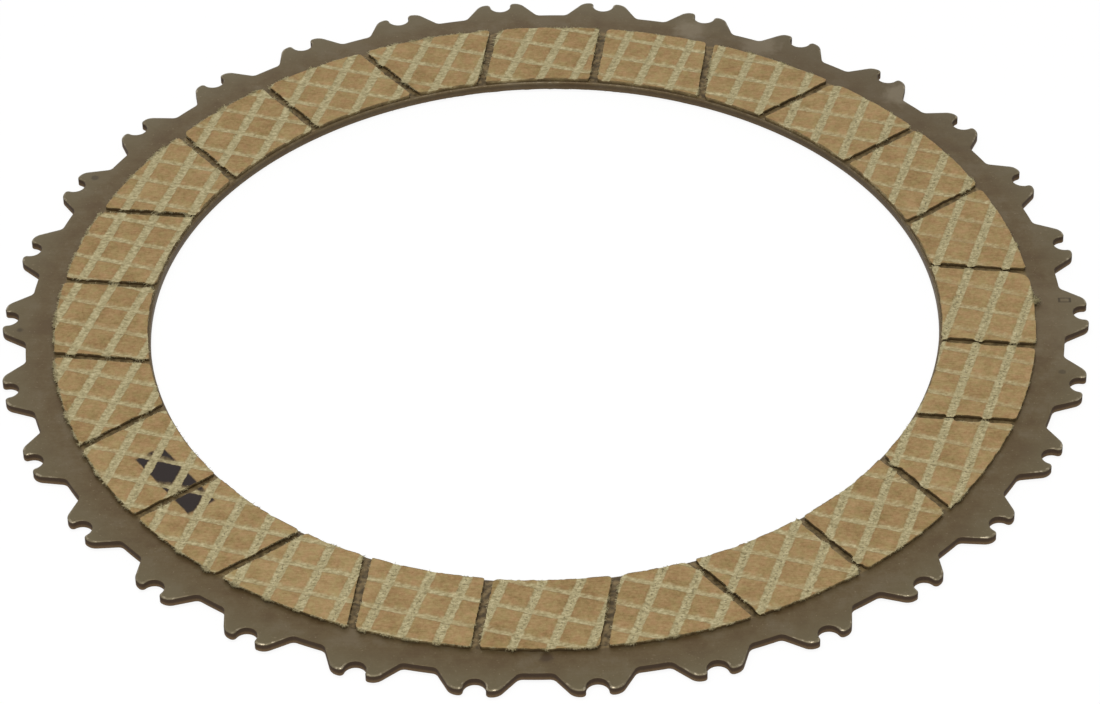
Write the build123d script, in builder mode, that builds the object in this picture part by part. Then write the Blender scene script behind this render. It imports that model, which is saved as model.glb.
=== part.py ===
from build123d import *

import os
from math import ceil, cos, floor, radians, sin, tan

# Clutch disc: one friction disc out of a wet multi-plate clutch.
#
# A flat steel core ring carries an outer spline, which slides in the slots of the clutch
# drum.  Paper friction segments are bonded to both of its faces, with narrow gaps between
# them, and a waffle of oil grooves is milled across the whole lining.
#
# Frame: origin on the disc's axis, half way through the core plate.  +Z is the axis and
# leaves the upper friction face, +X runs through the middle of a tooth.
# Units are millimetres and degrees.

# ---------------------------------------------------------------- driving dimensions

# Core plate, from the bore outwards
core_thickness = 2.5
bore_radius = 110.7
inner_margin = 0.6          # bare steel between the bore and the lining
lining_width = 26.3         # across the friction ring, inside edge to outside edge
outer_margin = 8.0          # bare steel between the lining and the bottoms of the tooth gaps

# Outer spline
tooth_count = 30
dedendum = 4.4              # pitch circle down to the bottoms of the tooth gaps
addendum = 2.5              # pitch circle up to the tooth tips
flank_angle = 32.0          # straight flank to the tooth's centre line
root_fillet = 2.2
tip_fillet = 3.4            # a tip's outer corners are well rounded, so each lobe is an ear
notch_radius = 3.0          # half-round notch in the middle of each tooth tip
notch_depth = 4.25          # tip circle down to the bottom of the notch
notch_fillet = 1.1          # rounding at the mouth of the notch

# Friction lining
lining_thickness = 1.1
joint_groups = 8            # each group is three parallel joints
joint_pitch = 33.1          # from a joint to its parallel neighbour
joint_gap = 2.0             # free width of every joint
first_joint_angle = -6.65   # direction of the first group's middle joint

# Oil grooves, two crossing sets of straight cuts
groove_pitch = 9.65
groove_width = 2.2
groove_depth = 0.5
groove_set_a_angle = 163.45  # direction in which the first set is stepped
groove_set_a_shift = 5.7    # its first groove, measured from the axis
groove_set_b_angle = 73.2
groove_set_b_shift = 7.05

# ---------------------------------------------------------------- sizes that follow

lining_inner = bore_radius + inner_margin
lining_outer = lining_inner + lining_width
root_radius = lining_outer + outer_margin
pitch_radius = root_radius + dedendum
tip_radius = pitch_radius + addendum

core_top = core_thickness / 2
friction_face = core_top + lining_thickness
pitch_half_angle = 90 / tooth_count
pitch_point_x = pitch_radius * cos(radians(pitch_half_angle))
pitch_point_y = pitch_radius * sin(radians(pitch_half_angle))

group_step = 360 / joint_groups
parallel_width = joint_pitch - joint_gap
groove_sets = (
    (groove_set_a_angle, groove_set_a_shift),
    (groove_set_b_angle, groove_set_b_shift),
)


def flank_half_width(x):
    """Half the width of a tooth, at a distance x from the axis along its centre line."""
    return pitch_point_y + (pitch_point_x - x) * tan(radians(flank_angle))


def at_radius(vertices, radius):
    """The vertices that lie on a circle about the axis."""
    return vertices.filter_by(lambda v: abs(Vector(v.X, v.Y).length - radius) < 0.001)


# ---------------------------------------------------------------- core plate

# One tooth, from inside the root circle to the tip circle
tooth_foot = root_radius - root_fillet
notch_centre = tip_radius - notch_depth + notch_radius
lobe_width = flank_half_width(tip_radius) - notch_radius
notch_side = notch_depth - notch_radius
mouth_rounding = min(notch_fillet, 0.36 * lobe_width, 0.9 * notch_side)
tip_rounding = min(tip_fillet, 1.08 * lobe_width)

with BuildSketch() as tooth:
    Polygon(
        (tooth_foot, -flank_half_width(tooth_foot)),
        (tip_radius, -flank_half_width(tip_radius)),
        (tip_radius, flank_half_width(tip_radius)),
        (tooth_foot, flank_half_width(tooth_foot)),
        align=None,
    )
    Circle(tip_radius, mode=Mode.INTERSECT)
    with Locations((notch_centre, 0)):
        Circle(notch_radius, mode=Mode.SUBTRACT)
        Rectangle(
            notch_depth,
            2 * notch_radius,
            align=(Align.MIN, Align.CENTER),
            mode=Mode.SUBTRACT,
        )
    tip_corners = at_radius(tooth.vertices(), tip_radius).sort_by(lambda v: abs(v.Y))
    fillet(tip_corners[:2], mouth_rounding)
    tip_corners = at_radius(tooth.vertices(), tip_radius).sort_by(lambda v: abs(v.Y))
    fillet(tip_corners[-2:], tip_rounding)

with BuildPart() as core_plate:
    with BuildSketch(Plane.XY.offset(-core_top)) as core_outline:
        Circle(root_radius)
        with PolarLocations(0, tooth_count):
            add(tooth.sketch)
        fillet(at_radius(core_outline.vertices(), root_radius), root_fillet)
        Circle(bore_radius, mode=Mode.SUBTRACT)
    extrude(amount=core_thickness)

core_plate.part.label = "core_plate"


# ---------------------------------------------------------------- friction lining


def strip_outline(direction, side):
    """Lining between a group's middle joint and one of its neighbours: parallel sides."""
    with BuildSketch() as outline:
        Circle(lining_outer)
        Circle(lining_inner, mode=Mode.SUBTRACT)
        with Locations(Location((0, 0, 0), (0, 0, direction))):
            with Locations((0, side * joint_pitch / 2)):
                Rectangle(
                    lining_outer,
                    parallel_width,
                    align=(Align.MIN, Align.CENTER),
                    mode=Mode.INTERSECT,
                )
    return outline.sketch


def wedge_outline(direction):
    """Lining between two groups: its sides run parallel to the joints beside them."""
    half_angle = group_step / 2
    apex = (joint_pitch + joint_gap / 2) / sin(radians(half_angle))
    reach = 2 * lining_outer
    half_span = (reach - apex) * tan(radians(half_angle))
    with BuildSketch() as outline:
        Circle(lining_outer)
        Circle(lining_inner, mode=Mode.SUBTRACT)
        Polygon(
            (apex, 0),
            (reach, -half_span),
            (reach, half_span),
            rotation=direction,
            align=None,
            mode=Mode.INTERSECT,
        )
    return outline.sketch


def upper_segment(outline):
    """One bonded segment, with the grooves that cross it cut into its free face."""
    middle = outline.bounding_box().center()
    reach = outline.bounding_box().diagonal / 2
    with BuildPart() as segment:
        with BuildSketch(Plane.XY.offset(core_top)):
            add(outline)
        extrude(amount=lining_thickness)
        with BuildSketch(Plane.XY.offset(friction_face - groove_depth)):
            for angle, shift in groove_sets:
                step = Vector(cos(radians(angle)), sin(radians(angle)))
                distance = middle.dot(step)
                first = ceil((distance - reach - shift) / groove_pitch)
                last = floor((distance + reach - shift) / groove_pitch)
                for index in range(first, last + 1):
                    groove_line = shift + index * groove_pitch
                    foot = middle + step * (groove_line - distance)
                    with Locations((foot.X, foot.Y)):
                        Rectangle(groove_width, 2 * reach, rotation=angle)
        extrude(amount=groove_depth, mode=Mode.SUBTRACT)
    return segment.part


def lower_segment(upper):
    """The segment on the other face that lies back to back with an upper one."""
    with BuildPart() as segment:
        mirror(upper, about=Plane.XY)
    return segment.part


# Three segments belong to each group of joints, and both faces carry the same layout.
outlines = []
for group in range(joint_groups):
    direction = first_joint_angle + group * group_step
    outlines.append(strip_outline(direction, -1))
    outlines.append(strip_outline(direction, 1))
    outlines.append(wedge_outline(direction + group_step / 2))

linings = []
for number, outline in enumerate(outlines, start=1):
    upper_lining = upper_segment(outline)
    upper_lining.label = f"upper_lining_{number:02d}"
    lower_lining = lower_segment(upper_lining)
    lower_lining.label = f"lower_lining_{number:02d}"
    linings += [upper_lining, lower_lining]


# ---------------------------------------------------------------- export

os.makedirs("parts", exist_ok=True)
export_step(core_plate.part, "parts/core_plate.step")
for lining in linings:
    export_step(lining, f"parts/{lining.label}.step")

print("tip radius", round(tip_radius, 3), "root radius", round(root_radius, 3))
print("module", round(2 * pitch_radius / tooth_count, 3))
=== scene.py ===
# %% [markdown]
# # A wet clutch disc
# The disc is a flat steel ring with a coarse spline round the outside and strips of friction
# paper glued to both faces. Oil grooves are milled right across the paper, as a waffle.
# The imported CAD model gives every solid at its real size. This lesson keeps those sizes and
# works on what CAD leaves plain: the blanked edge of the steel, the frayed cuts in the
# paper, loose fibres, and the two finishes.

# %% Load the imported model
from math import cos, radians, sin, sqrt, tan

import bpy
import numpy as np
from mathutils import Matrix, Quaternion, Vector


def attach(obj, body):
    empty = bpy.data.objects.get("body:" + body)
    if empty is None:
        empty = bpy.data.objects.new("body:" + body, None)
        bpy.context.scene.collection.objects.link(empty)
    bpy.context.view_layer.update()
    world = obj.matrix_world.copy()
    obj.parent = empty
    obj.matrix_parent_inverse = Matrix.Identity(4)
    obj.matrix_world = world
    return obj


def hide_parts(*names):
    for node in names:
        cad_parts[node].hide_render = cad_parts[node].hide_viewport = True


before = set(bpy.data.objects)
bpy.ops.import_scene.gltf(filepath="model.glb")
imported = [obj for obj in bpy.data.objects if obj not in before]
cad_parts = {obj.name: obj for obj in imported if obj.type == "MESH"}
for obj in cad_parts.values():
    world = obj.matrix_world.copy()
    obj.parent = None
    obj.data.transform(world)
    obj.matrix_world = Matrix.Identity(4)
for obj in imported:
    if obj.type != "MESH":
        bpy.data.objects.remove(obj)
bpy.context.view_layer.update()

MM = 0.001

# %% [markdown]
# ## Sizes from the CAD model
# Blender works in metres, but a machined part is easier to think about in millimetres. So
# every shape below is worked out in millimetres, and only the function that makes the mesh
# turns them to metres. Radii and heights are measured on the CAD solids. What else the
# solids were drawn with, for the teeth, the joints and the grooves, is written out again.


# %% Measure the solids
def node_points(name):
    """The vertices of one CAD node as an (n, 3) array in millimetres."""
    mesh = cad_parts[name].data
    points = np.empty(3 * len(mesh.vertices), np.float32)
    mesh.vertices.foreach_get("co", points)
    return points.reshape(-1, 3) / MM


core_points = node_points("core_plate")
core_radii = np.hypot(core_points[:, 0], core_points[:, 1])
BORE_RADIUS = round(float(core_radii.min()), 2)
TIP_RADIUS = round(float(core_radii.max()), 2)
CORE_TOP = round(float(core_points[:, 2].max()), 3)

lining_names = sorted(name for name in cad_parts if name.startswith("upper_lining"))
lining_points = np.concatenate([node_points(name) for name in lining_names])
lining_radii = np.hypot(lining_points[:, 0], lining_points[:, 1])
LINING_INNER = round(float(lining_radii.min()), 2)
LINING_OUTER = round(float(lining_radii.max()), 2)
FRICTION_FACE = round(float(lining_points[:, 2].max()), 3)
print("bore", BORE_RADIUS, "lining", LINING_INNER, LINING_OUTER, "tip", TIP_RADIUS)
print("core top", CORE_TOP, "friction face", FRICTION_FACE, "segments", len(lining_names))

# %% Sizes that the solids were drawn with, in millimetres and degrees
TOOTH_COUNT = 30
PITCH_RADIUS = 150.0
ROOT_RADIUS = 145.6
FLANK_ANGLE = 32.0
ROOT_FILLET = 2.2
TIP_FILLET = 3.4
NOTCH_RADIUS = 3.0
NOTCH_DEPTH = 4.25
NOTCH_FILLET = 1.1

JOINT_GROUPS = 8
JOINT_PITCH = 33.1
JOINT_GAP = 2.0
FIRST_JOINT_ANGLE = -6.65

GROOVE_PITCH = 9.65
GROOVE_WIDTH = 2.2
GROOVE_DEPTH = 0.5
GROOVE_SETS = ((163.45, 5.7), (73.2, 7.05))
GROOVE_SCALE = (1.16, 0.90)     # how wide each set's torn band looks

# %% [markdown]
# ## Four small tools
# A mesh in Blender is a list of points and a list of faces. Handing both over as whole
# arrays with foreach_set is many times faster than adding points one by one. Most shapes
# here are grids, so one function lists a grid's quads and another one makes the object.
# The third gives a smooth random field, because nothing that is cut, torn or worn has a
# perfectly even edge, and the fourth a smooth step from one state to another.


# %% Mesh, grid and noise helpers
def grid_quads(ids, wrap_rows=False, wrap_columns=False):
    """Quads between neighbouring rows and columns of a 2-D array of point numbers."""
    rows = np.vstack([ids, ids[:1]]) if wrap_rows else ids
    both = np.hstack([rows, rows[:, :1]]) if wrap_columns else rows
    corners = (both[:-1, :-1], both[1:, :-1], both[1:, 1:], both[:-1, 1:])
    return np.stack(corners, axis=-1).reshape(-1, 4)


def make_piece(name, points, faces, material, slot, **attributes):
    """A mesh object from points in millimetres and a list of face arrays, one row a face."""
    mesh = bpy.data.meshes.new(name)
    mesh.vertices.add(len(points))
    mesh.vertices.foreach_set("co", (points * MM).astype(np.float32).ravel())
    loops = np.concatenate([rows.ravel() for rows in faces]).astype(np.int32)
    sizes = np.concatenate([np.full(len(rows), rows.shape[1]) for rows in faces])
    mesh.loops.add(len(loops))
    mesh.loops.foreach_set("vertex_index", loops)
    mesh.polygons.add(len(sizes))
    mesh.polygons.foreach_set("loop_start", (np.cumsum(sizes) - sizes).astype(np.int32))
    mesh.polygons.foreach_set("use_smooth", np.ones(len(sizes), bool))
    for label, values in attributes.items():
        layer = mesh.attributes.new(label, "FLOAT", "POINT")
        layer.data.foreach_set("value", np.asarray(values, np.float32))
    mesh.update(calc_edges=True)
    mesh.materials.append(material)
    piece = bpy.data.objects.new(name, mesh)
    bpy.context.scene.collection.objects.link(piece)
    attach(piece, "root")
    return piece


LATTICE_SIDE = 256
lattice = np.random.default_rng(30).random((LATTICE_SIDE, LATTICE_SIDE))


def value_noise(x, y, size, layer=0):
    """Random field from 0 to 1 with features `size` mm wide.

    Every corner of a square lattice has a random height, and between the corners the
    height follows the smooth step 3t^2 - 2t^3 in both directions.
    """
    u = x / size + 37.7 * layer
    v = y / size + 91.3 * layer
    column = np.floor(u).astype(int)
    row = np.floor(v).astype(int)
    s = (u - column) ** 2 * (3 - 2 * (u - column))
    t = (v - row) ** 2 * (3 - 2 * (v - row))
    columns = column % LATTICE_SIDE, (column + 1) % LATTICE_SIDE
    rows = row % LATTICE_SIDE, (row + 1) % LATTICE_SIDE
    near, right = lattice[columns[0], rows[0]], lattice[columns[1], rows[0]]
    above, far = lattice[columns[0], rows[1]], lattice[columns[1], rows[1]]
    return (near * (1 - s) + right * s) * (1 - t) + (above * (1 - s) + far * s) * t


def smooth_step(low, high, value):
    """0 below low, 1 above high, and 3t^2 - 2t^3 between them."""
    t = np.clip((value - low) / (high - low), 0, 1)
    return t * t * (3 - 2 * t)


# %% [markdown]
# ## Helpers for materials
# Colours are picked as sRGB hex, the way a paint program shows them, while a renderer
# counts light, so one function turns hex to linear values. Node materials get long, so a
# second function adds one node with its settings and links in a single call. The short
# ones after it use that for what comes up again and again: a noise, a change of range, a
# sum, a blend, a colour ramp, and a value that the mesh carries at its points.

# %% Colour and node helpers
A_COLOUR, B_COLOUR, MIXED = 6, 7, 2     # numbers of a Mix node's sockets for colours


def colour(code, alpha=1.0):
    """Linear RGBA from an sRGB hex code: c/12.92 in the darks, ((c + .055)/1.055)^2.4 above."""
    levels = [int(code[i : i + 2], 16) / 255 for i in (1, 3, 5)]
    linear = [c / 12.92 if c <= 0.04045 else ((c + 0.055) / 1.055) ** 2.4 for c in levels]
    return (*linear, alpha)


def add_node(tree, kind, inputs=(), stops=(), **settings):
    """Adds a node, sets its properties, and fills its inputs with values or links."""
    node = tree.nodes.new("ShaderNode" + kind)
    for label, value in settings.items():
        setattr(node, label, value)
    for socket, value in dict(inputs).items():
        if isinstance(value, bpy.types.NodeSocket):
            tree.links.new(value, node.inputs[socket])
        else:
            node.inputs[socket].default_value = value
    if stops:
        elements = node.color_ramp.elements
        while len(elements) < len(stops):
            elements.new(1.0)
        for element, (position, value) in zip(elements, stops):
            element.position = position
            element.color = value
    return node


def new_material(name):
    """An empty node material: its tree and its own Object coordinates."""
    material = bpy.data.materials.new(name)
    material.use_nodes = True
    material.node_tree.nodes.clear()
    place = add_node(material.node_tree, "TexCoord").outputs["Object"]
    return material, material.node_tree, place


def grain(size):
    """Scale of a noise whose features are `size` millimetres wide."""
    return 1 / (size * MM)


def noise(tree, place, scale, detail, roughness=0.5):
    """Fractal noise from 0 to 1, with `detail` ever finer layers."""
    return add_node(tree, "TexNoise", {"Vector": place, "Scale": scale, "Detail": detail,
                                       "Roughness": roughness}).outputs["Fac"]


def stretched(tree, place, turn, sizes):
    """Coordinates turned by `turn` degrees and counted in `sizes` millimetres by axis."""
    scale = tuple(grain(size) for size in sizes)
    return add_node(tree, "Mapping", {"Vector": place, "Rotation": (0, 0, radians(turn)),
                                      "Scale": scale}).outputs[0]


def remap(tree, value, start=0.0, end=1.0, low=0.0, high=1.0, **settings):
    """Runs from low to high while the value runs from start to end."""
    return add_node(tree, "MapRange", {"Value": value, "From Min": start, "From Max": end,
                                       "To Min": low, "To Max": high}, **settings).outputs[0]


def maths(tree, operation, *values):
    """One operation on up to three values, each a number or a socket."""
    return add_node(tree, "Math", dict(enumerate(values)), operation=operation).outputs[0]


def vector_maths(tree, operation, *values):
    """One operation on vectors, as a node, since some give a vector and some a number."""
    return add_node(tree, "VectorMath", dict(enumerate(values)), operation=operation)


def blend(tree, share, first, second, **settings):
    """Colour between the first, at a share of 0, and the second, at 1."""
    return add_node(tree, "Mix", {0: share, A_COLOUR: first, B_COLOUR: second},
                    data_type="RGBA", **settings).outputs[MIXED]


def ramp(tree, value, *stops):
    """Colour of a value between stops, each a position and a hex code."""
    stops = [(position, colour(code)) for position, code in stops]
    return add_node(tree, "ValToRGB", {"Fac": value}, stops).outputs["Color"]


def carried(tree, name):
    """A value that the mesh carries at each of its points."""
    return add_node(tree, "Attribute", attribute_name=name).outputs["Fac"]


# %% [markdown]
# ## Finish of the steel: blackened and oiled spring steel
# The core is stamped from carbon steel strip, hardened and tempered, which leaves a thin
# olive-brown oxide. The oxide hides most of the metal's shine, so the surface is only a
# third metallic and fairly rough, with faint rolling lines. Towards the tooth tips it turns
# greyer, a painted sheen of the rolled lobes. Blanking gives the edge a sheared wall, dark
# with its oxide and with painted shade, paler towards the bottom, and a softly rolled rim,
# where the oxide rubs off to bare metal; along the bore that band is a painted highlight.
# Where the paper is bonded, the adhesive has browned the steel. In the joints painted shade
# darkens that brown, and painted light pales it towards +X and -X.

# %% Steel material
steel, tree, place = new_material("tempered_steel_oxide")

cloud = noise(tree, place, grain(9), 7.0, 0.72)
lines = noise(tree, stretched(tree, place, 12, (20, 0.7, 20)), 1.0, 3.0)
speck = noise(tree, place, grain(0.7), 2.0)
oxide = ramp(tree, cloud, (0.37, "#54432a"), (0.50, "#5c4d33"), (0.63, "#645741"))
streak = ramp(tree, lines, (0.30, "#f6f5f3"), (0.70, "#ffffff"))
oxide_lines = blend(tree, 1.0, oxide, streak, blend_type="MULTIPLY")
flat_place = vector_maths(tree, "MULTIPLY", place, (1, 1, 0))
radius = vector_maths(tree, "LENGTH", flat_place.outputs[0]).outputs["Value"]
# Painted sheen: greyer towards the tooth tips, standing in for light on the rolled lobes
tip_sheen = remap(tree, radius, (ROOT_RADIUS - 4) * MM, TIP_RADIUS * MM, 0, 0.85)
oxide_with_tip_sheen = blend(tree, tip_sheen, oxide_lines, colour("#645b44"))
pale_specks = remap(tree, speck, 0.66, 0.78, 0, 0.45)
top_face = blend(tree, pale_specks, oxide_with_tip_sheen, colour("#8f8168"))

# Marks on the upper face: a broad oily shade and a paler, drier one, plain punch dots, a
# dark stain, a nick and three dusty smears
PUNCHED, DUSTY = "#3d3323", "#857a66"
MARKS = (                # x and y of the middle and radius in mm, colour, strength
    (88.0, 112.0, 65.0, "#4c3f2a", 0.35), (144.0, -3.0, 22.0, "#7c705a", 0.18),
    (-147.4, -5.3, 1.3, PUNCHED, 0.8), (-132.7, 64.9, 1.3, PUNCHED, 0.7),
    (143.3, -26.2, 1.2, PUNCHED, 0.6),
    (2.7, -139.6, 2.4, "#3b2c1c", 0.75), (79.6, -130.7, 0.7, "#b9ab8c", 0.9),
    (42.3, 137.2, 6.0, DUSTY, 0.45), (63.4, 129.1, 7.0, DUSTY, 0.4),
    (104.6, 103.1, 6.0, DUSTY, 0.5),
)
smudge = noise(tree, place, grain(2.2), 4.0)
for mark_x, mark_y, mark_radius, mark_colour, strength in MARKS:
    size = mark_radius * MM
    centre = (mark_x * MM, mark_y * MM, CORE_TOP * MM)
    away = vector_maths(tree, "DISTANCE", place, centre).outputs["Value"]
    blurred = maths(tree, "MULTIPLY_ADD", smudge, -1.2 * size, away)
    spot = remap(tree, blurred, 0.5 * size, -0.2 * size, 0, strength,
                 interpolation_type="SMOOTHSTEP")
    top_face = blend(tree, spot, top_face, colour(mark_colour))

# A small blank frame, punched beside one tooth: dark where max(|u| / a, |v| / b) is near 1
PUNCH_MIDDLE, PUNCH_HALF = (146.3, 5.4), (1.5, 0.85)
PUNCH_LINE, PUNCH_STRENGTH = 0.22, 0.75
punch_place = (PUNCH_MIDDLE[0] * MM, PUNCH_MIDDLE[1] * MM, 0)
punch_scale = (grain(PUNCH_HALF[0]), grain(PUNCH_HALF[1]), 0)
from_punch = vector_maths(tree, "SUBTRACT", place, punch_place)
punch_size = vector_maths(tree, "MULTIPLY", from_punch.outputs[0], punch_scale)
punch_sides = vector_maths(tree, "ABSOLUTE", punch_size.outputs[0])
punch_axes = add_node(tree, "SeparateXYZ", {0: punch_sides.outputs[0]})
punch_reach = maths(tree, "MAXIMUM", punch_axes.outputs[0], punch_axes.outputs[1])
punch_line = maths(tree, "COMPARE", punch_reach, 1.0, PUNCH_LINE)
punch_amount = maths(tree, "MULTIPLY", punch_line, PUNCH_STRENGTH)
top_face = blend(tree, punch_amount, top_face, colour("#33291a"))

# Adhesive: brown wherever the lining ring lies, seen in the joints between the segments,
# with painted shade of the joints in its darker end. Towards +X and -X it is paler: painted light
inside = remap(tree, radius, (LINING_INNER - 0.1) * MM, (LINING_INNER + 0.4) * MM)
outside = remap(tree, radius, (LINING_OUTER - 0.5) * MM, (LINING_OUTER + 0.1) * MM, 1, 0)
under = maths(tree, "MULTIPLY", inside, outside)
glue = noise(tree, place, grain(1.6), 4.0)
glue_and_joint_shade = ramp(tree, glue, (0.38, "#43361f"), (0.64, "#7a6745"))
axes = add_node(tree, "SeparateXYZ", {0: place})
to_side = maths(tree, "ABSOLUTE", axes.outputs[0])
painted_side_light = remap(tree, to_side, 50 * MM, 105 * MM, 0, 0.16)
glue_with_side_light = blend(tree, painted_side_light, glue_and_joint_shade, colour("#95835f"))
bonded = blend(tree, under, top_face, glue_with_side_light)

# Rim: bare metal where the rolled edge is rubbed; along the bore the same paler, glossier band is
# a painted highlight
rubbing = noise(tree, place, grain(1.5), 6.0, 0.7)
rubbed = remap(tree, rubbing, 0.50, 0.60, 0.12)
bare_and_highlight = maths(tree, "MULTIPLY", carried(tree, "rim"), rubbed)
worn_and_highlit_rim = blend(tree, bare_and_highlight, bonded, colour("#9c917b"))

# Sheared wall: dark, partly its oxide and partly painted shade of the side faces, with torn
# streaks, paler towards the bottom
wall = carried(tree, "wall")
torn = noise(tree, stretched(tree, place, 0, (0.8, 0.8, 6)), 1.0, 4.0)
low_down = remap(tree, axes.outputs[2], 0.4 * MM, -0.9 * MM, 0, 0.75,
                 interpolation_type="SMOOTHSTEP")
streaks_paler_below = maths(tree, "MULTIPLY_ADD", torn, 0.25, low_down)
wall_tone_and_shade = ramp(tree, streaks_paler_below, (0.15, "#423325"), (0.50, "#54422e"), (0.85, "#705a3f"))
steel_colour = blend(tree, wall, worn_and_highlit_rim, wall_tone_and_shade)

# Gloss and metal: both from the oxide, then the dull wall, then the bare rim
gloss = remap(tree, cloud, low=0.42, high=0.56)
rough = remap(tree, wall, low=gloss, high=0.8)
metal = remap(tree, wall, low=0.35, high=0.0)
bare_rough = remap(tree, bare_and_highlight, low=rough, high=0.24)
bare_metal = remap(tree, bare_and_highlight, low=metal, high=0.85)
relief = add_node(tree, "Bump", {"Height": speck, "Strength": 0.25, "Distance": 0.02 * MM})
steel_shader = add_node(tree, "BsdfPrincipled", {
    "Base Color": steel_colour, "Roughness": bare_rough, "Metallic": bare_metal,
    "Normal": relief.outputs[0], "Specular IOR Level": 0.25})
add_node(tree, "OutputMaterial", {"Surface": steel_shader.outputs[0]})
print("steel nodes:", len(tree.nodes))

# %% [markdown]
# ## Finish of the lining: resin-bonded friction paper
# Friction paper is aramid and cellulose fibre, soaked in phenolic resin and cured, which
# turns its skin tan. A milled groove cuts through that skin and leaves torn, paler fibres,
# so the groove has another colour and texture as well as another height. The mesh carries
# how far the skin is torn at each point, and noise at the size of a fibre breaks that up.

# %% Paper material
paper, tree, place = new_material("resin_bonded_friction_paper")

blotch = noise(tree, place, grain(6), 3.0)
mottle = noise(tree, place, grain(0.9), 4.0, 0.65)
fibre = noise(tree, stretched(tree, place, -20, (2.5, 0.35, 1)), 1.0, 3.0)
tone = carried(tree, "tone")
speckled = maths(tree, "MULTIPLY", mottle, 0.5)
with_fibre = maths(tree, "MULTIPLY_ADD", fibre, 0.25, speckled)
with_blotch = maths(tree, "MULTIPLY_ADD", blotch, 0.32, with_fibre)
toned = maths(tree, "ADD", with_blotch, tone)
skin = ramp(tree, toned, (0.35, "#826b47"), (0.50, "#9a835e"), (0.65, "#ad9771"))
patches = noise(tree, place, grain(2.6), 3.0, 0.65)
tint = ramp(tree, patches, (0.36, "#fff0e4"), (0.64, "#f5f6e0"))
cured = blend(tree, 1.0, skin, tint, blend_type="MULTIPLY")

# Groove: pale torn fibre, with dark pores between the strands along the deepest line. The
# pores show most towards +X and -Y
shred = noise(tree, stretched(tree, place, -73.4, (1.5, 0.8, 0.9)), 1.0, 4.0, 0.65)
shredded = ramp(tree, shred, (0.30, "#827854"), (0.48, "#aa9e77"), (0.70, "#ccc199"))
hollow = noise(tree, place, grain(0.6), 3.0)
porous = remap(tree, hollow, 0.52, 0.64, 0, 0.9)
pores = maths(tree, "MULTIPLY", carried(tree, "middle"), porous)
toward = vector_maths(tree, "DOT_PRODUCT", place, (0.7, -0.7, 0)).outputs["Value"]
drier = remap(tree, toward, -90 * MM, 20 * MM, 0.25)
open_pores = maths(tree, "MULTIPLY", pores, drier)
torn_fibre = blend(tree, open_pores, shredded, colour("#675e42"))
ragged = maths(tree, "MULTIPLY_ADD", shred, 0.4, carried(tree, "groove"))
milled = remap(tree, ragged, 0.35, 1.0, interpolation_type="SMOOTHSTEP")
surface = blend(tree, milled, cured, torn_fibre)

# Painted shadow: a thin dark line along one side of each cut of the second set, where that side's
# wall is in shade
shadow_line_angle, shadow_line_shift = radians(GROOVE_SETS[1][0]), GROOVE_SETS[1][1]
shadow_line_middle = shadow_line_shift - GROOVE_SCALE[1] * GROOVE_WIDTH / 2
shadow_line_axis = (cos(shadow_line_angle), sin(shadow_line_angle), 0)
over = vector_maths(tree, "DOT_PRODUCT", place, shadow_line_axis).outputs["Value"]
moved = maths(tree, "SUBTRACT", over, shadow_line_middle * MM)
off_shadow_line = maths(tree, "WRAP", moved, GROOVE_PITCH * MM / 2, -GROOVE_PITCH * MM / 2)
painted_shadow_line = remap(tree, maths(tree, "ABSOLUTE", off_shadow_line), 0.08 * MM, 0.24 * MM, 1, 0)
broken = remap(tree, patches, 0.45, 0.60, 0, 0.55)
shadow_line_amount = maths(tree, "MULTIPLY", painted_shadow_line, broken)
with_shadow_line = blend(tree, shadow_line_amount, surface, colour("#6f5c3c"))

# Ink: black marker, which wets the skin and misses the grooves. The same dark also paints shade
# in a line along the inner cut edge
unmilled = maths(tree, "SUBTRACT", 1.0, milled)
inked_and_shaded = maths(tree, "MULTIPLY", carried(tree, "ink"), unmilled)
marked = blend(tree, inked_and_shaded, with_shadow_line, colour("#2b2422"))

# Cut edges: torn fibre again, darker where the tone carries dark resin and painted shade
edge_grain = maths(tree, "ADD", fibre, tone)
edge_tone_and_shade = ramp(tree, edge_grain, (0.0, "#68573a"), (0.35, "#7d6b46"), (0.75, "#bdac82"))
paper_colour = blend(tree, carried(tree, "wall"), marked, edge_tone_and_shade)
nap = add_node(tree, "Bump", {"Height": shred, "Strength": 0.35, "Distance": 0.12 * MM})
paper_shader = add_node(tree, "BsdfPrincipled", {
    "Base Color": paper_colour, "Normal": nap.outputs[0],
    "Roughness": 0.85, "Specular IOR Level": 0.25})
add_node(tree, "OutputMaterial", {"Surface": paper_shader.outputs[0]})
print("paper nodes:", len(tree.nodes))

# %% [markdown]
# ## The core plate
# A blanked plate isn't a sharp extrusion. The punch drags the top rim down into a small
# roll, then shears a steep wall. So the shape is one closed section carried round the
# tooth outline: the outline gives the position, its normal gives the direction in which
# the section's inset is measured, and plain circles close it at the bore. One tooth is
# worked out from its corners, with an arc at each, and turned thirty times.


# %% Outline of one tooth pitch
def rounded_path(corners, radii, arc_points=7):
    """A path through corner points, where corner i is an arc of radius radii[i].

    The arc touches both sides at radius * tan(turn / 2) from the corner. A radius of 0
    keeps the point itself.
    """
    path = []
    for i, (corner, radius) in enumerate(zip(corners, radii)):
        if radius == 0:
            path.append(corner[None])
            continue
        arrive = (corner - corners[i - 1]) / np.linalg.norm(corner - corners[i - 1])
        leave = (corners[i + 1] - corner) / np.linalg.norm(corners[i + 1] - corner)
        turn = np.arctan2(arrive[0] * leave[1] - arrive[1] * leave[0], arrive @ leave)
        start = corner - arrive * radius * abs(tan(turn / 2))
        angle = turn * np.linspace(0, 1, arc_points)[:, None]
        side = np.array([-arrive[1], arrive[0]]) * np.sign(turn)
        path.append(start + radius * (arrive * np.sin(abs(angle)) + side * (1 - np.cos(angle))))
    return np.concatenate(path)


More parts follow.
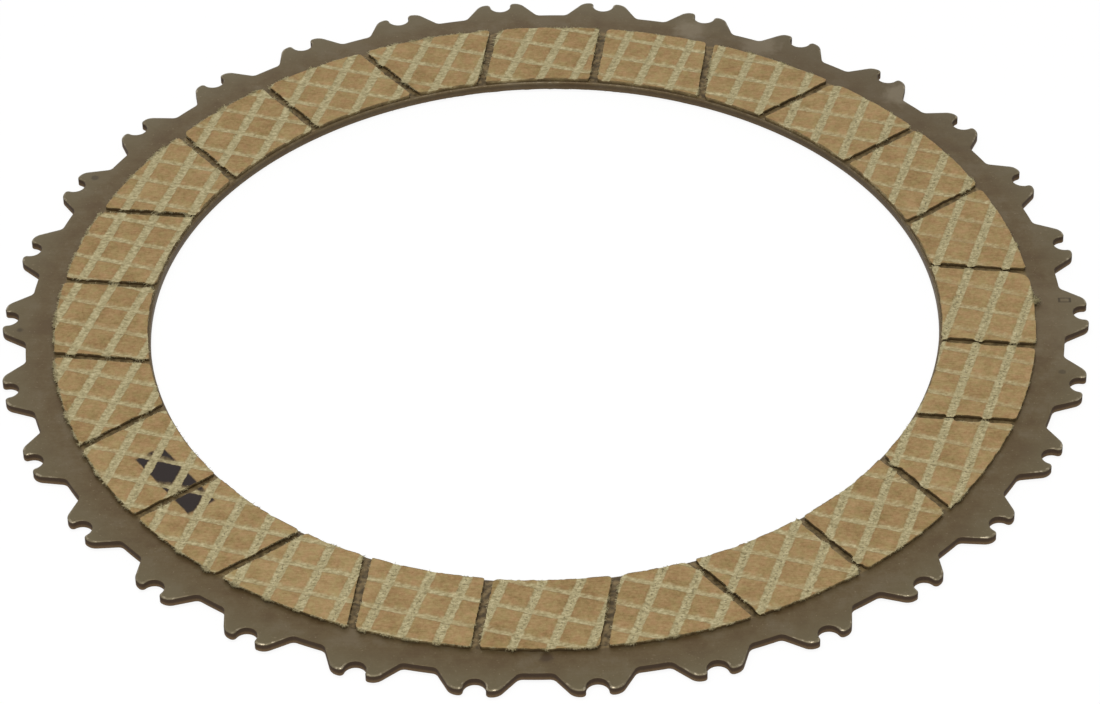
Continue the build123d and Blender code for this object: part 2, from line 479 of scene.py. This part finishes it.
def flank_point(radius):
    """Where a straight flank meets a circle about the axis, as (x, y)."""
    slope = tan(radians(FLANK_ANGLE))
    half_pitch = radians(90 / TOOTH_COUNT)
    height = PITCH_RADIUS * (sin(half_pitch) + slope * cos(half_pitch))
    x = (slope * height + sqrt(radius**2 * (1 + slope**2) - height**2)) / (1 + slope**2)
    return np.array([x, height - slope * x])


def on_circle(radius, degrees):
    """Point at a radius and an angle about the axis."""
    return np.array([radius * cos(radians(degrees)), radius * sin(radians(degrees))])


VALLEY_ANGLES = (4.9, 5.45, 6.0)     # points along the bottom of the gap, in degrees

notch_centre = TIP_RADIUS - NOTCH_DEPTH + NOTCH_RADIUS
notch_mouth = np.array([sqrt(TIP_RADIUS**2 - NOTCH_RADIUS**2), NOTCH_RADIUS])
quarter = np.radians(np.linspace(180, 90, 13))[:, None]
notch = np.array([notch_centre, 0]) + NOTCH_RADIUS * np.hstack([np.cos(quarter), np.sin(quarter)])
valley = [on_circle(ROOT_RADIUS, angle) for angle in VALLEY_ANGLES]
corners = np.array([notch[-1], notch_mouth, flank_point(TIP_RADIUS), flank_point(ROOT_RADIUS),
                    *valley])
lobe = rounded_path(corners, (0, NOTCH_FILLET, TIP_FILLET, ROOT_FILLET, 0, 0, 0))
half_tooth = np.concatenate([notch, lobe[1:]])
one_tooth = np.concatenate([half_tooth[:0:-1] * (1, -1), half_tooth[:-1]])

turns = np.radians(np.arange(TOOTH_COUNT) * 360 / TOOTH_COUNT)
x, y = one_tooth[:, 0], one_tooth[:, 1]
outline = np.stack([np.outer(np.cos(turns), x) - np.outer(np.sin(turns), y),
                    np.outer(np.sin(turns), x) + np.outer(np.cos(turns), y)], -1)
outline = outline.reshape(-1, 2)
print("outline points:", len(outline))

# %% Section carried round the outline
# Each edge is a row of points (inset from the outline, height over the face), in millimetres
BOTTOM_EDGE = ((0.60, 0.0), (0.09, 0.0), (0.02, 0.04), (0.0, 0.14))
ROLL = ((0.60, 0.0), (0.34, -0.03), (0.17, -0.09), (0.06, -0.19), (0.0, -0.34))
BORE_ROLL = ((0.58, 0.0), (0.32, -0.06), (0.13, -0.20), (0.03, -0.42), (0.0, -0.65))
VALLEY_ROLL, LOBE_ROLL = 0.45, 1.25     # size of the rolled rim, in a gap and on a lobe
FLAT_RING = ROOT_RADIUS - 1.6           # here the section goes over to plain circles
# The bore's rim gets a weaker band of the rubbed colour, which is a painted highlight
BORE_RIM_HIGHLIGHT, BORE_WALL = 0.2, 0.4         # the bore's rim and wall are rubbed and sheared less

ahead = np.roll(outline, -1, axis=0) - np.roll(outline, 1, axis=0)
ahead /= np.linalg.norm(ahead, axis=1)[:, None]
inward = np.stack([-ahead[:, 1], ahead[:, 0]], -1)
polar = np.unwrap(np.arctan2(outline[:, 1], outline[:, 0]))
polar = np.maximum.accumulate(polar)
spoke = np.stack([np.cos(polar), np.sin(polar)], -1)

from_axis = np.hypot(outline[:, 0], outline[:, 1])
high = smooth_step(ROOT_RADIUS + 2.5, TIP_RADIUS - 0.6, from_axis)
roll = VALLEY_ROLL + (LOBE_ROLL - VALLEY_ROLL) * high
flat = np.zeros(len(outline))

# The rim wear column also carries the painted highlight along the bore
rings = []          # (points in the plane, height, rim wear, sheared wall)
for inset, rise in BOTTOM_EDGE:
    rings.append((outline + inward * inset, -CORE_TOP + rise, flat, flat + (inset < 0.05)))
for inset, drop in ROLL[::-1]:
    rubbed_and_highlit = high if 0.05 < inset < 0.5 else flat
    rings.append((outline + inward * inset * roll[:, None], CORE_TOP + drop * roll, rubbed_and_highlit,
                  flat + (inset == 0)))
rings.append((spoke * FLAT_RING, CORE_TOP, flat, flat))
# Along the bore's roll the rim value is a painted highlight
for inset, drop in BORE_ROLL:
    rubbed_and_highlit = BORE_RIM_HIGHLIGHT if 0.1 < inset < 0.5 else 0
    rings.append((spoke * (BORE_RADIUS + inset), CORE_TOP + drop, flat + rubbed_and_highlit, flat))
for ring_radius, height, sheared in ((BORE_RADIUS, CORE_TOP - 0.75, BORE_WALL),
                                     (BORE_RADIUS, -CORE_TOP + 0.1, BORE_WALL),
                                     (BORE_RADIUS + 0.06, -CORE_TOP, 0),
                                     (FLAT_RING, -CORE_TOP, 0)):
    rings.append((spoke * ring_radius, height, flat, flat + sheared))

count = len(outline)
core_xyz = np.concatenate([np.column_stack([xy, flat + z]) for xy, z, _, _ in rings])
core_ids = np.arange(len(rings) * count).reshape(len(rings), count)
core = make_piece(
    "core_plate_blanked", core_xyz,
    [grid_quads(core_ids, wrap_rows=True, wrap_columns=True)[:, ::-1]],
    steel, "core_steel",
    rim=np.concatenate([ring[2] for ring in rings]),
    wall=np.concatenate([ring[3] for ring in rings]),
)
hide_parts("core_plate")
print("core plate faces:", len(core.data.polygons))

# %% [markdown]
# ## The oil grooves as a field
# Both sets of grooves are straight cuts at one pitch, so the groove under any point follows
# from one number: how far the point lies from the nearest cut's middle line. The cut's half
# width wanders a little with noise, because the cutter tears fibres out instead of slicing
# them, and a smooth step makes the wall.


# %% Depth of the cuts at any point
STRENGTH = (0.85, 0.47)    # how thoroughly each set tears the skin away
WEAKER = (0.10, 0.12)      # and how much that fades to +X, between these two places
FADING = ((-90, 60), (40, 130))
SCUFF = (0.15, 0.30)       # how far the skin beside each cut is scuffed
SCUFF_BEFORE = (1.0, 0.0)  # and the share of that on the side where the stepping starts
WANDER, FRAY = 0.16, 0.30  # slow and fast changes of a cut's half width, in millimetres


def groove_field(x, y, soft=0.45):
    """Depth and tearing of the cuts at a point, then two measures of the first set alone.

    The depth goes from 0 on a land to 1 on the floor of a groove: a smooth step between
    half - soft and half + soft from the middle line. The tearing follows it, and also
    fades out over the skin beside a cut. The last two are exp(-(distance / 0.6)^2) from
    the first set's middle line, and that set's depth.
    """
    depth, shade = np.zeros_like(x), np.zeros_like(x)
    for number, (angle, shift) in enumerate(GROOVE_SETS):
        across = x * cos(radians(angle)) + y * sin(radians(angle)) - shift
        signed = across - GROOVE_PITCH * np.round(across / GROOVE_PITCH)
        off_line = np.abs(signed)
        wander = (value_noise(x, y, 2.3, 3 + number) - 0.5) * WANDER
        fray = (value_noise(x, y, 0.45, 5 + number) - 0.5) * FRAY
        half = GROOVE_SCALE[number] * GROOVE_WIDTH / 2 - 0.05 + wander + fray
        cut = 1 - smooth_step(half - soft, half + soft, off_line)
        depth = np.maximum(depth, cut)
        patchy = STRENGTH[number] + 0.30 * value_noise(x, y, 7.0, 13 + number)
        fading = WEAKER[number] * smooth_step(*FADING[number], x)
        shade = np.maximum(shade, cut * (patchy - fading))
        scuffed = SCUFF[number] * np.where(signed > 0, 1, SCUFF_BEFORE[number])
        beside = 1 - smooth_step(0.9, 2.3, off_line)
        shade = np.maximum(shade, scuffed * beside * (0.5 + value_noise(x, y, 1.6, 25)))
        if number == 0:
            middle, first = np.exp(-((off_line / 0.6) ** 2)), cut
    return depth, shade, middle, first


# %% [markdown]
# ## The lining segments
# Every segment lies between two circles and two straight joints. A joint is a straight line
# at a fixed distance y from the axis, so at radius R it lies at the angle asin(y / R) from
# its own direction. Blending between the two joints' angles makes a grid that fits the
# segment. Near each corner the grid is squeezed by the map that turns a square into a disc,
# which rounds the corner as a worn die does.


# %% Outline and surface of one segment
LOWER_INSET = 0.75      # the strips underneath are laid a little further from the bore
RAGGED = 0.40           # how far in from its line an edge can be torn, in millimetres


def joint_angle(direction, distance, radius):
    """Polar angle at which a joint line, at a distance from the axis, meets a radius."""
    return radians(direction) + np.arcsin(distance / radius)


def round_corner(across, along, radius):
    """Distances from a corner's two edges, moved so that the corner becomes an arc.

    With p and q the nearness to each edge, from 0 at `radius` to 1 at the edge, the square
    to disc map is p * sqrt(1 - q^2 / 2) and q * sqrt(1 - p^2 / 2).
    """
    p = np.clip(1 - across / radius, 0, 1)
    q = np.clip(1 - along / radius, 0, 1)
    near = (p > 0) & (q > 0)
    moved_across = np.where(near, radius * (1 - p * np.sqrt(1 - q * q / 2)), across)
    moved_along = np.where(near, radius * (1 - q * np.sqrt(1 - p * p / 2)), along)
    return moved_across, moved_along


def segment_surface(low, high, corner_radii, cell, inner):
    """Grid over a segment between joints low and high, each (direction, distance).

    Returns x, y and the distance to the nearest edge.
    """
    depth = LINING_OUTER - inner
    middle = (inner + LINING_OUTER) / 2
    mean_width = middle * (joint_angle(*high, middle) - joint_angle(*low, middle))
    columns = int(round(mean_width / cell)) + 1
    rows = int(round(depth / cell)) + 1
    u, v = np.meshgrid(np.linspace(0, 1, columns), np.linspace(0, 1, rows))
    radius = inner + v * depth
    width = radius * (joint_angle(*high, radius) - joint_angle(*low, radius))
    across, along = u * width, v * depth
    for number, corner in enumerate(corner_radii):
        far_u, far_v = number % 2, number // 2
        a = width - across if far_u else across
        b = depth - along if far_v else along
        a, b = round_corner(a, b, corner)
        across = width - a if far_u else a
        along = depth - b if far_v else b
    radius = inner + along
    low_angle, high_angle = joint_angle(*low, radius), joint_angle(*high, radius)
    angle = low_angle + (high_angle - low_angle) * across / width
    x, y = radius * np.cos(angle), radius * np.sin(angle)

    # Ragged edge: the rim is pulled in, which dies away inwards as exp(-distance / 0.4 mm)
    to_side = np.minimum(across, width - across)
    to_arc = np.minimum(along, depth - along)
    to_rim = np.minimum(to_side, to_arc)
    pull = RAGGED * value_noise(x, y, 0.8, 8) * value_noise(x, y, 3.1, 9)
    centre = np.array([x.mean(), y.mean()])
    inwards = np.stack([centre[0] - x, centre[1] - y], -1)
    inwards /= np.linalg.norm(inwards, axis=-1)[..., None]
    amount = pull * np.exp(-to_rim / 0.4)
    return x + inwards[..., 0] * amount, y + inwards[..., 1] * amount, to_rim


INK_PLACE = (-98.6, -70.8)      # a plain patch of black marker: its middle
INK_SIZE = (27.6, 8.8)          # its length and width, in millimetres
INK_ANGLE = radians(-54)        # and the direction of its length


def ink_patch(x, y):
    """1 inside the patch, 0 outside: the larger of |u| / a and |v| / b against 1.

    u and v are measured from its middle, along and across it; a and b are half its sides.
    """
    u = (x - INK_PLACE[0]) * cos(INK_ANGLE) + (y - INK_PLACE[1]) * sin(INK_ANGLE)
    v = (y - INK_PLACE[1]) * cos(INK_ANGLE) - (x - INK_PLACE[0]) * sin(INK_ANGLE)
    blur = 0.06 * (value_noise(x, y, 1.3, 21) - 0.5)
    size = np.maximum(np.abs(u) / (INK_SIZE[0] / 2), np.abs(v) / (INK_SIZE[1] / 2)) + blur
    return 1 - smooth_step(0.95, 1.03, size)


# %% [markdown]
# ## Loose fibres
# Wherever the paper is cut, fibres stick out of the cut: most at the ends of the grooves and
# along the outer edge. Hair particles would be dropped by an export, so each fibre is a
# small closed mesh: a bent three-sided spike of ten triangles.


# %% Fibres along an edge
def fibre_spikes(roots, headings, lengths, rng):
    """Bent, tapered three-sided spikes as points and faces, all computed at once.

    A spike has two rings of three points and a tip. Ring k lies at r (cos a n + sin a u)
    from the middle line, with n level and square to the heading and u upwards.
    """
    count = len(roots)
    bend = headings + rng.normal(0, 0.7, count)
    rise = rng.normal(0.10, 0.22, count)
    droop = rise - rng.uniform(0.0, 0.5, count)
    joints = [roots]
    for angle, lift in ((headings, rise), (bend, droop)):
        way = np.column_stack([np.cos(angle), np.sin(angle), lift])
        joints.append(joints[-1] + way * lengths[:, None] / 2)
    level = np.column_stack([-np.sin(headings), np.cos(headings), 0 * headings])
    turn = np.radians([0, 120, 240])
    thick = rng.uniform(0.055, 0.10, count) * np.clip(lengths, 1, 1.3)
    points = []
    for middle, share in ((joints[0], 1.0), (joints[1], 0.75)):
        around = np.cos(turn)[None, :, None] * level[:, None, :]
        around = around + np.sin(turn)[None, :, None] * np.array([0, 0, 1.0])
        points.append(middle[:, None, :] + around * (thick * share)[:, None, None])
    points = np.concatenate([*points, joints[2][:, None, :]], axis=1).reshape(-1, 3)
    first = 7 * np.arange(count)[:, None]
    k, after = np.arange(3), (np.arange(3) + 1) % 3
    sides = np.stack([k, after, after + 3, k + 3], -1)[None] + first[:, :, None]
    tips = np.stack([k + 3, after + 3, 0 * k + 6], -1)[None] + first[:, :, None]
    return points, [sides.reshape(-1, 4), np.concatenate([tips.reshape(-1, 3),
                                                          first + np.array([0, 2, 1])])]


# Fibres for each millimetre of edge and their usual length, by side of the segment
EDGE_FUZZ = {"inner": (1.0, 0.40), "joint": (3.0, 0.60), "outer": (16.0, 0.55)}
TUFT_PLACE = (137.5, 4.1)       # and one larger tuft, at x and y in millimetres


def edge_fibres(edge, outward, heights, torn, sides, rng, share, ceiling):
    """Fibres rooted in a segment's rim, more and longer where a groove runs out.

    They are also more and longer towards -X, where handling has roughed up the edge: by
    0.5 - 0.5 cos(angle about the axis).
    """
    spacing = np.linalg.norm(np.roll(edge, -1, axis=0) - edge, axis=1)
    density = np.array([EDGE_FUZZ[side][0] for side in sides])
    length = np.array([EDGE_FUZZ[side][1] for side in sides])
    rough = 0.5 - 0.5 * edge[:, 0] / np.hypot(edge[:, 0], edge[:, 1])
    clumps = value_noise(edge[:, 0], edge[:, 1], 2.0, 17) ** 3 * 3.5
    tuft = np.exp(-((edge - TUFT_PLACE) ** 2).sum(axis=1))
    weight = spacing * density * ((0.25 + 1.6 * torn + 0.8 * rough) * clumps + 0.9 * tuft)
    count = int(weight.sum() * share)
    pick = rng.choice(len(edge), count, p=weight / weight.sum())
    inside = rng.uniform(0.05, 0.30, count)[:, None]
    depth = rng.uniform(0.03, 0.22, count)
    roots = np.column_stack([edge[pick] - outward[pick] * inside, heights[pick] - depth])
    headings = np.arctan2(outward[pick, 1], outward[pick, 0]) + rng.normal(0, 0.6, count)
    lengths = length[pick] * (0.6 + 0.9 * torn[pick] + 0.7 * rough[pick] + 3 * tuft[pick])
    points, faces = fibre_spikes(roots, headings, lengths * rng.uniform(0.5, 1.5, count), rng)
    points[:, 2] = np.minimum(points[:, 2], FRICTION_FACE + ceiling)
    return points, faces


# %% [markdown]
# ## One segment
# The face is a grid, and the wall below its rim bulges a little, as a frayed cut does. The
# back is one flat face on the steel. Loose fibres are added to the same mesh, so that they
# stay with their segment. The strips underneath get fewer, and none that reaches the floor.


# %% One closed segment with its fibres
BRIDGE = 1.2            # about the most that a groove's torn end hangs over a joint
NAP_HEIGHT = 0.05       # unevenness of the skin, in millimetres
FIBRE_CEILING = 0.4     # how far a loose fibre may stand up over the friction face


def lining_segment(name, node, low, high, corner_radii, cell, side, shade, rng):
    """The grooved face, a frayed wall, the bonded back and the fibres, as one piece."""
    inner = LINING_INNER + (LOWER_INSET if side < 0 else 0)
    x, y, to_rim = segment_surface(low, high, corner_radii, cell, inner)
    groove, torn, middle, first = groove_field(x, y, 0.45 if cell < 0.5 else 0.55)
    clogged = 1 - 0.65 * np.exp(-((to_rim / 0.7) ** 2))
    nap = (value_noise(x, y, 0.6, 11) - 0.5) * NAP_HEIGHT * (1 + 1.6 * groove)
    top = FRICTION_FACE - 0.03 - GROOVE_DEPTH * groove * clogged + nap
    ids = np.arange(x.size).reshape(x.shape)
    rim = np.concatenate([ids[0, :-1], ids[:-1, -1], ids[-1, :0:-1], ids[:0:-1, 0]])
    rows, columns = x.shape
    sides = np.repeat(["inner", "joint", "outer", "joint"],
                      [columns - 1, rows - 1, columns - 1, rows - 1])

    edge = np.column_stack([x.ravel()[rim], y.ravel()[rim]])
    step = np.roll(edge, -1, axis=0) - np.roll(edge, 1, axis=0)
    outward = np.column_stack([-step[:, 1], step[:, 0]])
    outward /= np.linalg.norm(outward, axis=1)[:, None] + 1e-9
    rim_top = top.ravel()[rim]

    # Bridges: torn fibre of the first set hangs over the joints that it crosses squarely
    line = (-sin(radians(GROOVE_SETS[0][0])), cos(radians(GROOVE_SETS[0][0])))
    reach = BRIDGE * first.ravel()[rim] * (sides == "joint") * (outward @ line) ** 2
    reach *= (1 + 0.3 * edge[:, 0] / LINING_OUTER) * value_noise(*edge.T, 5.0, 23)
    bridge = outward * reach[:, None]
    x.flat[rim], y.flat[rim] = (edge + bridge).T
    points = [np.column_stack([x.ravel(), y.ravel(), top.ravel()])]
    walls = [rim]
    for bulge, drop, share in ((0.06, 0.12, 1.0), (0.02, 0.30, 0.6)):
        ring = edge + bridge * share + outward * bulge
        points.append(np.column_stack([ring, rim_top - drop]))
        walls.append(x.size + (len(walls) - 1) * len(rim) + np.arange(len(rim)))
    points.append(np.column_stack([edge + outward * 0.08, np.full(len(rim), CORE_TOP)]))
    walls.append(x.size + (len(walls) - 1) * len(rim) + np.arange(len(rim)))
    faces = [grid_quads(ids), grid_quads(np.array(walls)[::-1], wrap_columns=True),
             walls[-1][None]]

    # Stain and painted shade: dark resin darkens the walls in patches, and painted shade darkens
    # them most of all down in the joints
    patchy = value_noise(*edge.T, 1.6, 27) * value_noise(*edge.T, 9.0, 29)
    stain_and_shade = np.where(sides == "joint", 0.5 - 0.4 * first.ravel()[rim], 1.2 * patchy)
    # Painted shade: the upper face is darkened along the inner cut edge, in a line one cell wide,
    # through the ink's value
    ink_and_shade = ink_patch(x, y)
    ink_and_shade[0] = np.maximum(ink_and_shade[0], 0.3 + 0.7 * value_noise(x[0], y[0], 2.0, 31))
    body = x.size + 3 * len(rim)
    share, ceiling = (1.0, FIBRE_CEILING) if side > 0 else (0.3, -0.02)
    spikes, spike_faces = edge_fibres(edge + bridge, outward, rim_top, torn.ravel()[rim], sides,
                                      rng, share, ceiling)
    points = np.concatenate([*points, spikes]) * (1, 1, side)
    faces = [rows[:, ::side] for rows in [*faces, *(part + body for part in spike_faces)]]
    below, loose = np.zeros(3 * len(rim)), np.zeros(len(spikes))
    piece = make_piece(
        name, points, faces, paper, "friction_paper",
        groove=np.concatenate([torn.ravel(), below, loose + 1]),
        middle=np.concatenate([middle.ravel(), below, loose]),
        wall=np.concatenate([np.zeros(x.size), below + 1, loose]),
        ink=np.concatenate([ink_and_shade.ravel() * (side > 0), below, loose]),
        tone=np.concatenate([np.full(x.size, shade), np.tile(shade - stain_and_shade, 3),
                             loose + shade]),
    )
    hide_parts(node)
    return piece


# %% All segments on both faces
# The outer corner at each segment's far joint is the most worn: its radius in millimetres
WORN_CORNER = (1.3, 3.5, 2.0, 1.5, 3.0, 1.5, 1.5, 3.5, 2.0, 2.0, 2.0, 1.0,
               1.0, 0.6, 0.6, 1.0, 1.5, 0.6, 1.0, 1.0, 1.2, 2.0, 2.5, 1.0)

random = np.random.default_rng(8)
SET_BACK = 0.13         # how far the torn skin stands back from each cut, in millimetres
GRIDS = (("upper", 0.30, 1), ("lower", 0.80, -1))   # face, size of a cell in mm, side
inner_edge = JOINT_GAP / 2 + SET_BACK
outer_edge = JOINT_PITCH - JOINT_GAP / 2 - SET_BACK
step_angle = 360 / JOINT_GROUPS
layout = []         # each group has two parallel-sided strips and a wedge up to the next
for group in range(JOINT_GROUPS):
    direction = FIRST_JOINT_ANGLE + group * step_angle
    layout.append(((direction, -outer_edge), (direction, -inner_edge)))
    layout.append(((direction, inner_edge), (direction, outer_edge)))
    layout.append(((direction, JOINT_PITCH + inner_edge),
                   (direction + step_angle, -JOINT_PITCH - inner_edge)))

triangles = 0
for number, (low, high) in enumerate(layout, start=1):
    corner_radii = 0.6 + 1.1 * random.random(4)
    corner_radii[3] = WORN_CORNER[number - 1]
    shade = random.uniform(-0.03, 0.03)
    for label, cell, side in GRIDS:
        piece = lining_segment(f"{label}_paper_{number:02d}", f"{label}_lining_{number:02d}",
                               low, high, corner_radii, cell, side, shade, random)
        triangles += sum(len(polygon.vertices) - 2 for polygon in piece.data.polygons)
print("lining triangles:", triangles)

# %% [markdown]
# ## Floor, light and camera
# A product like this is shown on a white sweep under one broad lamp, with a faint glow
# from the backdrop. The floor and the sky are white to the camera, and count for less as
# sources of light. The camera is a long lens, well back, looking down at about forty
# degrees.


# %% Floor
def seen_directly(tree):
    """1 for rays from the camera, or through gloss or glass, and 0 for diffuse light."""
    ray = add_node(tree, "LightPath").outputs
    seen = maths(tree, "MAXIMUM", ray["Is Camera Ray"], ray["Is Glossy Ray"])
    return maths(tree, "MAXIMUM", seen, ray["Is Transmission Ray"])


FLOOR_SIZE = 6.0        # metres
GLOW_SHARE = 0.88       # the rest is paint, which keeps the disc's own shadow

floor_paint, tree, _ = new_material("matt_white_sweep")
shaded = add_node(tree, "BsdfDiffuse", {"Color": colour("#e6e6e4")})
white = add_node(tree, "Emission", {"Color": (1, 1, 1, 1), "Strength": 1.045})
share = maths(tree, "MULTIPLY", seen_directly(tree), GLOW_SHARE)
floor_look = add_node(tree, "MixShader", {0: share, 1: shaded.outputs[0], 2: white.outputs[0]})
add_node(tree, "OutputMaterial", {"Surface": floor_look.outputs[0]})

floor_mesh = bpy.data.meshes.new("floor")
half, floor_height = FLOOR_SIZE / 2, -FRICTION_FACE * MM
corners_xy = ((-half, -half), (half, -half), (half, half), (-half, half))
floor_mesh.from_pydata([(*xy, floor_height) for xy in corners_xy], [], [(0, 1, 2, 3)])
floor_mesh.materials.append(floor_paint)
floor = bpy.data.objects.new("floor", floor_mesh)
bpy.context.scene.collection.objects.link(floor)


# %% Light
def area_lamp(name, place, size, energy):
    """A rectangular lamp of size (width, height), in metres, aimed at the origin."""
    lamp = bpy.data.lights.new(name, "AREA")
    lamp.shape = "RECTANGLE"
    lamp.size, lamp.size_y = size
    lamp.energy = energy
    holder = bpy.data.objects.new(name, lamp)
    holder.location = place
    holder.rotation_euler = (-Vector(place)).to_track_quat("-Z", "Y").to_euler()
    bpy.context.scene.collection.objects.link(holder)


SKY_LIGHT = 0.34        # the sky's strength as a light; to the camera it is 1

world = bpy.data.worlds.new("studio")
bpy.context.scene.world = world
world.use_nodes = True
tree = world.node_tree
tree.nodes.clear()
strength = remap(tree, seen_directly(tree), low=SKY_LIGHT, high=1.0)
sky = add_node(tree, "Background", {"Color": (1, 1, 1, 1), "Strength": strength})
add_node(tree, "OutputWorld", {"Surface": sky.outputs[0]})

area_lamp("overhead_softbox", (-0.06, -0.58, 1.38), (1.2, 1.2), 16.2)
area_lamp("backdrop_glow", (-0.15, 0.95, 0.62), (0.9, 0.35), 1.0)

# %% Camera
CAMERA_PLACE = Vector((29.89, -989.6, 805.27)) * MM
CAMERA_AIM = Vector((1.766, -16.317, 1.25)) * MM
CAMERA_ROLL = radians(-1.369)
lens = bpy.data.cameras.new("camera")
lens.sensor_width = 36.0
lens.lens = 148.41
lens.clip_end = 20
camera = bpy.data.objects.new("camera", lens)
camera.location = CAMERA_PLACE
upright = (CAMERA_AIM - CAMERA_PLACE).to_track_quat("-Z", "Y")
camera.rotation_mode = "QUATERNION"
camera.rotation_quaternion = upright @ Quaternion((0, 0, 1), CAMERA_ROLL)
bpy.context.scene.collection.objects.link(camera)
bpy.context.scene.camera = camera
bpy.context.scene.view_settings.view_transform = "Standard"
